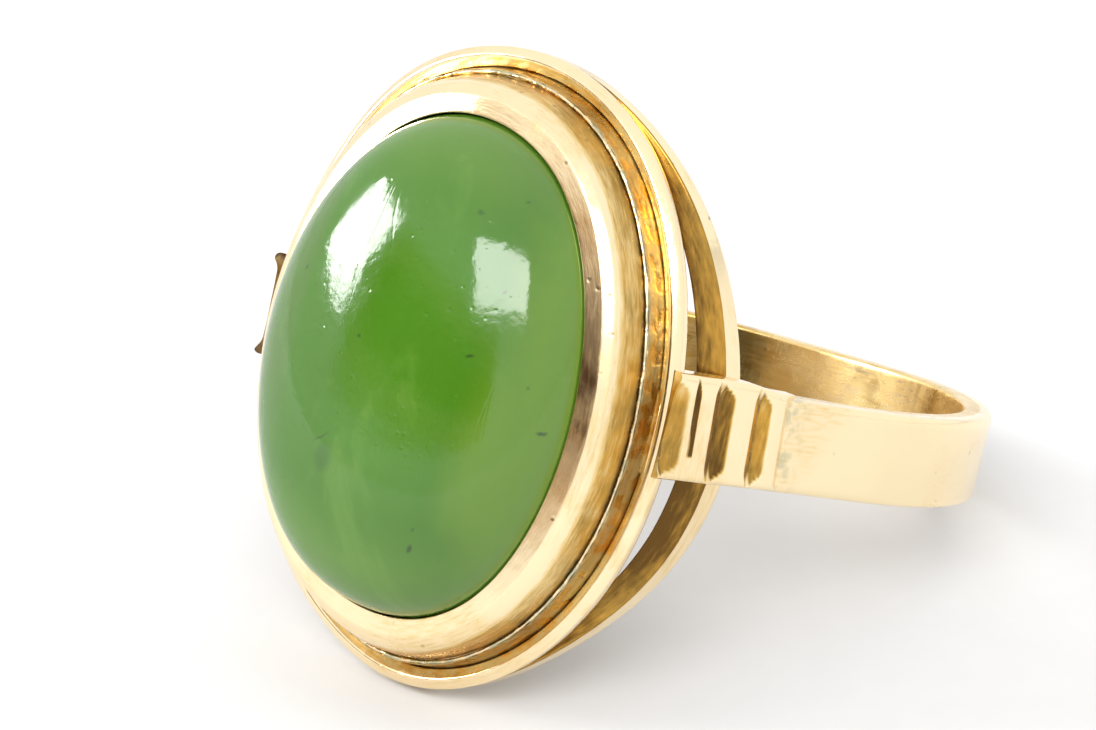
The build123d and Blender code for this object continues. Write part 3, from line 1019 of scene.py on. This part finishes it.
def notched_bar_tree():
    """A bar's section carried along a line and cut by the notches of the table."""
    notch_sizes = {}
    for label, valley, near_width, far_width, depth, _, _ in notch_table:
        notch_sizes.update({label + " Valley": valley, label + " Near Width": near_width,
                            label + " Far Width": far_width, label + " Depth": depth})
    nodes, start, end = shape_group(
        "Notched bar", "Steps", 330, length=shoulder_length, end_slope=0.2, skew=0.087,
        taper=0.011, softness=0.02, **notch_sizes)
    full_length = nodes.plus(start["Length"], nodes.times(start["End Slope"], 2.0))
    line = points_on_line(nodes, nodes.joined(full_length), start["Steps"])
    mesh, section, path = sweep_nodes(nodes, start["Geometry"], line, True)
    height = section[1]
    along = nodes.plus(path[0], nodes.times(section[0], start["Skew"]))
    from_middle = nodes.math("ABSOLUTE", section[0])
    near_edge = nodes.ramp(from_middle, half_bar - notch_runout, half_bar - bare_edge)
    near_edge = nodes.math("POWER", near_edge, 2.0)
    patina_and_shade = 0.0
    crevice = 0.0
    for label, _, _, _, _, far_brown_and_shade, fades in notch_table:
        depth = start[label + " Depth"]
        if fades:
            depth = nodes.times(depth, nodes.ramp(section[0], -0.7, 0.8))
        past_valley = nodes.minus(along, start[label + " Valley"])
        nearer = nodes.math("DIVIDE", past_valley, start[label + " Near Width"])
        further = nodes.math("DIVIDE", past_valley, start[label + " Far Width"])
        nearer = nodes.minus(nodes.times(near_edge, 0.3), nearer)
        spread = nodes.math("MAXIMUM", nearer, nodes.plus(further, near_edge))
        limit = nodes.times(depth, nodes.minus(spread, 1.0))
        cut = nodes.math("GREATER_THAN", height, limit)
        height = nodes.math("SMOOTH_MIN", height, limit, start["Softness"])
        # The far side of each notch gets the patina note: brown patina and painted shade.
        far_side = nodes.ramp(past_valley, -0.02, 0.02, 0.35 * far_brown_and_shade, 1.15 * far_brown_and_shade)
        # The valley gets the crevice note, painted near black as dirt and painted shade.
        in_valley = nodes.ramp(nodes.math("ABSOLUTE", past_valley), 0.05, 0.01, 0.0, 0.8)
        crevice = nodes.math("MAXIMUM", crevice, nodes.times(cut, in_valley))
        notch_brown_and_shade = nodes.times(nodes.times(cut, far_side), nodes.ramp(spread, 1.0, 0.75))
        patina_and_shade = nodes.math("MAXIMUM", patina_and_shade, notch_brown_and_shade)
    past_end = nodes.minus(along, start["Length"])
    height = nodes.math("SMOOTH_MIN", height, nodes.times(past_end, -0.6), start["Softness"])
    across = nodes.times(section[0], nodes.minus(1.0, nodes.times(path[0], start["Taper"])))
    wear_start = shoulder_length - worn_length
    towards_end = nodes.ramp(path[0], wear_start, shoulder_length, 0.0, worn_corner)
    worn_down = nodes.times(nodes.ramp(section[0], 0.0, 0.4), towards_end)
    position = nodes.joined(path[0], nodes.minus(across, worn_down), height)
    flow = nodes.joined(section[0], height, path[0])
    notes = {"flow": flow, "patina_and_shade": patina_and_shade, "crevice": crevice}
    finish_nodes(nodes, mesh, position, notes, start, end)
    return nodes.tree


notched_bar = notched_bar_tree()
print("tree:", notched_bar.name)

# %% [markdown]
# ## The two shoulders
# One tree serves both sides. The left shoulder is the right one mirrored, which is easiest to say
# with a placement matrix: its columns hold where the bar's length, width and height point.

# %% Shoulders
bar_corners = [
    ("upper edge", half_bar, 0.0, 0.2),
    ("other upper edge", -half_bar, 0.0, 0.2),
    ("other lower edge", -half_bar, -shoulder_thickness, 0.05),
    ("lower edge", half_bar, -shoulder_thickness, 0.05),
]
tangent_point = Vector((cos(tangent_angle), sin(tangent_angle))) * band_radius
along_bar = (tangent_point - front_corner).normalized()
outward = Vector((-along_bar.y, along_bar.x))
if outward.x < 0:
    outward = -outward
shoulder_table = [
    # name, side, shift towards the upper end of the head
    ("shoulder_right", 1, 0.25),
    ("shoulder_left", -1, 0.0),
]
bar_start = front_corner + outward * shoulder_rise
shoulders = []
for name, side, shift in shoulder_table:
    placement = Matrix((
        (side * along_bar.x, 0, side * outward.x, side * bar_start.x),
        (along_bar.y, 0, outward.y, bar_start.y),
        (0, 1, 0, shift),
        (0, 0, 0, 1),
    ))
    shoulders.append(shaped(name, notched_bar, bar_corners, lay_down @ placement, wobble=0.012))

# %% [markdown]
# ## Band
# The band is a flat strip with rounded edges. Round the back of the finger it follows a circle; at
# the sides it runs straight towards the head while its inner face keeps to the circle. The tree
# works in angles round the finger hole: the outer face stands at the circle's radius, or further out
# by one over the cosine of the angle past the point where the straight side begins. Beside the
# shoulder's step some solder has run onto it. Under the shoulders the band and the legs keep deeper,
# so that they don't show in the notches. At the back of the finger the band's upper edge is lower.

# %% Band tree
under_shoulder = 0.35
bore_end_angle = radians(-49.0)
step_angle = radians(-37.6)
shank_place = lay_down @ Matrix.Translation((0, 0, shank_shift))


def band_tree():
    """The band's section carried round the finger from one leg to the other."""
    nodes, start, end = shape_group(
        "Band round the finger", "Steps", 320, bore_radius=bore_radius, thickness=band_thickness,
        tangent_angle=tangent_angle, start_angle=bore_end_angle, step_angle=step_angle,
        under_shoulder=under_shoulder, lower_back_edge=0.2)
    line = points_on_line(nodes, (1.0, 0.0, 0.0), start["Steps"])
    mesh, section, path = sweep_nodes(nodes, start["Geometry"], line, True)
    sweep = nodes.minus(pi, nodes.times(start["Start Angle"], 2.0))
    angle = nodes.plus(start["Start Angle"], nodes.times(path[0], sweep))
    past_right = nodes.minus(start["Tangent Angle"], angle)
    past_left = nodes.minus(angle, nodes.minus(pi, start["Tangent Angle"]))
    past = nodes.math("MAXIMUM", nodes.math("MAXIMUM", past_right, past_left), 0.0)
    circle = nodes.plus(start["Bore Radius"], start["Thickness"])
    outer = nodes.math("DIVIDE", circle, nodes.math("COSINE", past))
    nearer_side = nodes.math("MINIMUM", angle, nodes.minus(pi, angle))
    past_step = nodes.minus(nearer_side, start["Step Angle"])
    below_bar = nodes.times(nodes.ramp(past_step, 0.0, -0.012), start["Under Shoulder"])
    outer = nodes.minus(outer, below_bar)
    from_inside = nodes.plus(start["Bore Radius"], section[1])
    from_outside = nodes.plus(nodes.minus(outer, start["Thickness"]), section[1])
    is_outer = nodes.math("GREATER_THAN", section[1], nodes.times(start["Thickness"], 0.5))
    radius = nodes.plus(nodes.times(from_outside, is_outer),
                        nodes.times(from_inside, nodes.minus(1.0, is_outer)))
    x = nodes.times(radius, nodes.math("COSINE", angle))
    y = nodes.times(radius, nodes.math("SINE", angle))
    lowered = nodes.times(nodes.ramp(angle, 0.8, 1.7), nodes.ramp(section[0], 0.0, 1.0))
    across = nodes.minus(section[0], nodes.times(lowered, start["Lower Back Edge"]))
    position = nodes.joined(x, y, across)
    solder = nodes.ramp(past_step, 0.11, 0.03, 0.0, 0.7)
    # The inner face is painted golden brown, as patina and painted shade inside the band.
    patina_and_shade = nodes.times(nodes.minus(1.0, is_outer), 0.6)
    notes = {"flow": position, "solder": solder, "patina_and_shade": patina_and_shade}
    finish_nodes(nodes, mesh, position, notes, start, end)
    return nodes.tree


half_band = band_width / 2
band_corners = [
    ("upper outer edge", half_band, band_thickness, 0.24),
    ("lower outer edge", -half_band, band_thickness, 0.24),
    ("lower inner edge", -half_band, 0.0, 0.14),
    ("upper inner edge", half_band, 0.0, 0.14),
]
band = shaped("band", band_tree(), band_corners, shank_place, wobble=0.012)

# %% [markdown]
# ## Legs
# Between the outer ring and the band, a solid block stands under each shoulder. It has flat faces
# only, so it is built from the corners of its outline, with a bevel for the worn edges.

# %% Legs under the shoulders
leg_bevel = 0.00006          # in metres, as the piece is laid down already
bore_end = Vector((cos(bore_end_angle), sin(bore_end_angle))) * bore_radius
leg_outer = bore_end.normalized() * band_radius / cos(tangent_angle - bore_end_angle)


def leg_piece(name, side):
    """The block that fills a shoulder between the outer ring and the band."""
    inner_x = front_corner.x - shoulder_inset
    corners = [
        front_corner - outward * under_shoulder, Vector((inner_x, front_corner.y)),
        Vector((inner_x, shelf_y)), Vector((bore_end.x, shelf_y)),
        bore_end, leg_outer - outward * under_shoulder,
    ]
    low = [(side * corner.x, corner.y, -half_band) for corner in corners]
    high = [(side * corner.x, corner.y, half_band) for corner in corners]
    count = len(corners)
    faces = [tuple(range(count))[::-1], tuple(range(count, 2 * count))]
    faces += [(i, (i + 1) % count, count + (i + 1) % count, count + i) for i in range(count)]
    piece = solid_piece(name, low + high, faces, shank_place, gold)
    bevel = piece.modifiers.new("Worn edges", "BEVEL")
    bevel.width = leg_bevel
    bevel.segments = 3
    bevel.limit_method = "ANGLE"
    return piece


legs = [leg_piece("leg_right", 1), leg_piece("leg_left", -1)]
print("legs", [leg.name for leg in legs])

# %% [markdown]
# ## Stone
# The cabochon is a full dome on a low wall. The dome's curve is level at the crown and upright at
# the girdle. Rings of points from the crown down to the base make the stone, closed by one point at
# the crown and one at the base. The crown leans a little towards the lower end of the head, as it
# does in the photograph, and the outline has the same swells and flats as the lip.

# %% Cabochon
crown_lean = 0.26
stone_shift = 0.03


def dome_point(share):
    """Reach and height on the dome's curve, as shares of the whole, from the crown to the girdle."""
    first = 3 * (1 - share) ** 2 * share
    second = 3 * (1 - share) * share ** 2
    reach = first * dome_fullness + second + share ** 3
    height = (1 - share) ** 3 + first + second * dome_fullness
    return reach, height


def cabochon_piece(name, around=192, dome_rings=80):
    """The stone, with each point's place on the face as a note."""
    dome_height = stone_rise + girdle_depth
    rings = [(0.0, -stone_rise, dome_height)]
    for ring in range(1, dome_rings + 1):
        reach, height = dome_point(ring / dome_rings)
        rings.append((reach, girdle_depth - dome_height * height, dome_height * height))
    inset = 1 - base_chamfer / stone_half_width
    stone_depth = stone_wall + base_chamfer
    for reach, below in ((1.0, stone_wall / 2), (1.0, stone_wall), (inset, stone_depth),
                         (inset / 2, stone_depth), (0.0, stone_depth)):
        rings.append((reach, girdle_depth + below, -below))
    points = []
    places = []
    for reach, depth, height in rings:
        lean = stone_shift - crown_lean * max(0.0, height) / dome_height
        steps = around if reach > 0 else 1
        for step in range(steps):
            turn = 2 * pi * step / around
            across = reach * (stone_half_width + lip_dents(turn)) * cos(turn)
            along = reach * (stone_half_length + lip_dents(turn)) * sin(turn)
            points.append((across, depth - finger_to_lip, along + lean))
            places.append((across, along, height))
    faces = []
    last = len(points) - 1
    for step in range(around):
        following = (step + 1) % around
        faces.append((0, 1 + step, 1 + following))
        for ring in range(len(rings) - 3):
            near = 1 + ring * around
            far = near + around
            faces.append((near + step, far + step, far + following, near + following))
        faces.append((last - around + step, last, last - around + following))
    piece = solid_piece(name, points, faces, lay_down, jade)
    layer = piece.data.attributes.new("on_face", "FLOAT_VECTOR", "POINT")
    layer.data.foreach_set("vector", [value for place in places for value in place])
    return piece


stone = cabochon_piece("cabochon")
print("cabochon", len(stone.data.polygons), "faces")

# %% [markdown]
# ## Ride and replace
# Every piece rides on the ring's one body. The gold pieces stand for the soldered mount, and the
# cabochon stands for the stone.

# %% Ride and replace
gold_pieces = [bezel, solder_seam, outer_ring, rim, gallery_strip, band] + shoulders + legs
for piece in gold_pieces:
    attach(piece, "root")
    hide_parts("gold_mount")
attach(stone, "root")
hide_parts("jade_cabochon")
